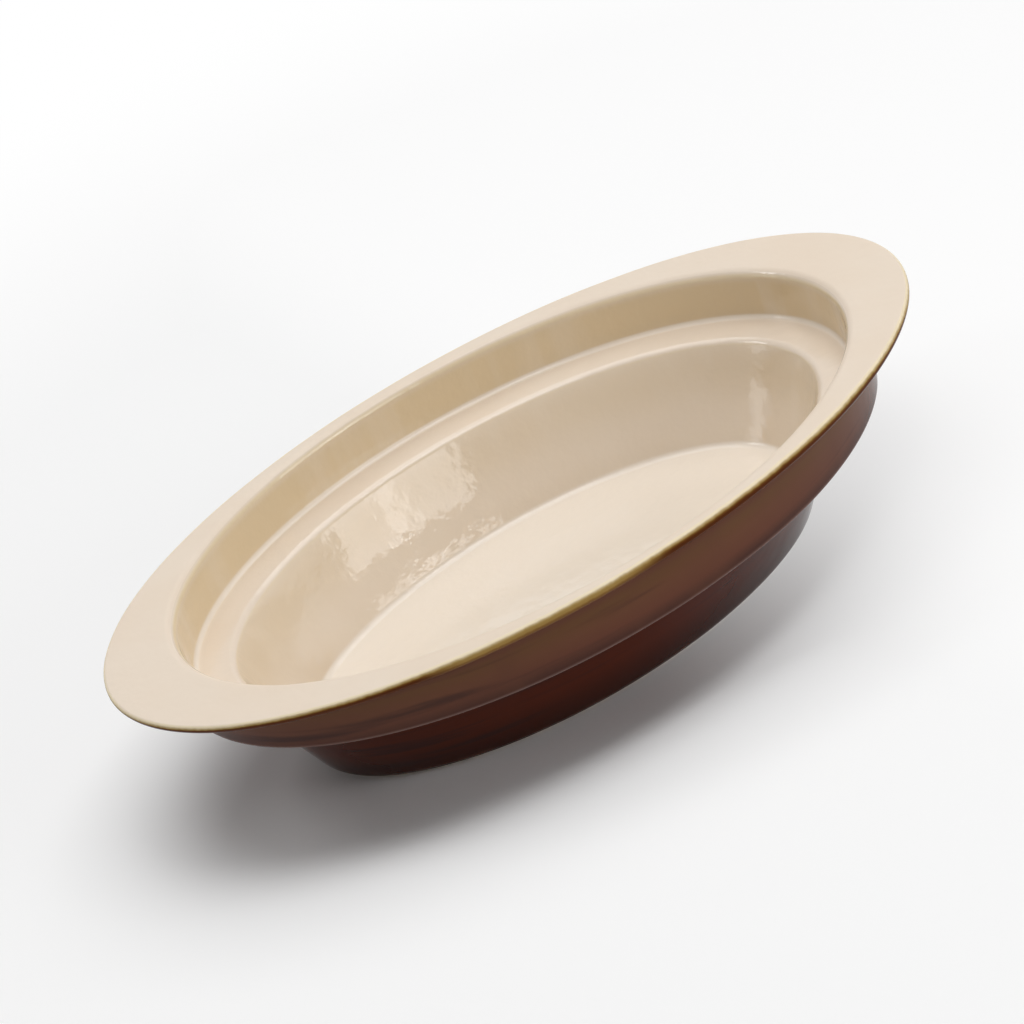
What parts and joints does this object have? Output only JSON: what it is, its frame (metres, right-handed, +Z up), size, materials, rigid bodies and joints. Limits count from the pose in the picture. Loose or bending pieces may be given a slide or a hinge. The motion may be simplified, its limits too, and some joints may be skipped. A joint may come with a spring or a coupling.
{
  "type": "oval oven dish",
  "caption": "Oval stoneware oven dish: a stepped bowl with a ledge, under a flat rim that widens into an ear at each end, cream inside and brown outside.",
  "frame": {"origin": "on the table under the middle of the dish, in the plane of the foot ring", "axes": "+X along the dish towards one ear, +Y across it, +Z up"},
  "size_m": [0.3, 0.1816, 0.0583],
  "materials": {
    "bare_stoneware": "matt",
    "cream_glaze": "gloss",
    "amber_glaze": "gloss",
    "brown_glaze": "gloss"
  },
  "bodies": {
    "root": {"stoneware_body": "bare_stoneware", "cream_liner_glaze": "cream_glaze", "amber_rim_glaze": "amber_glaze", "brown_outer_glaze": "brown_glaze", "brown_base_glaze": "brown_glaze"}
  },
  "joints": []
}
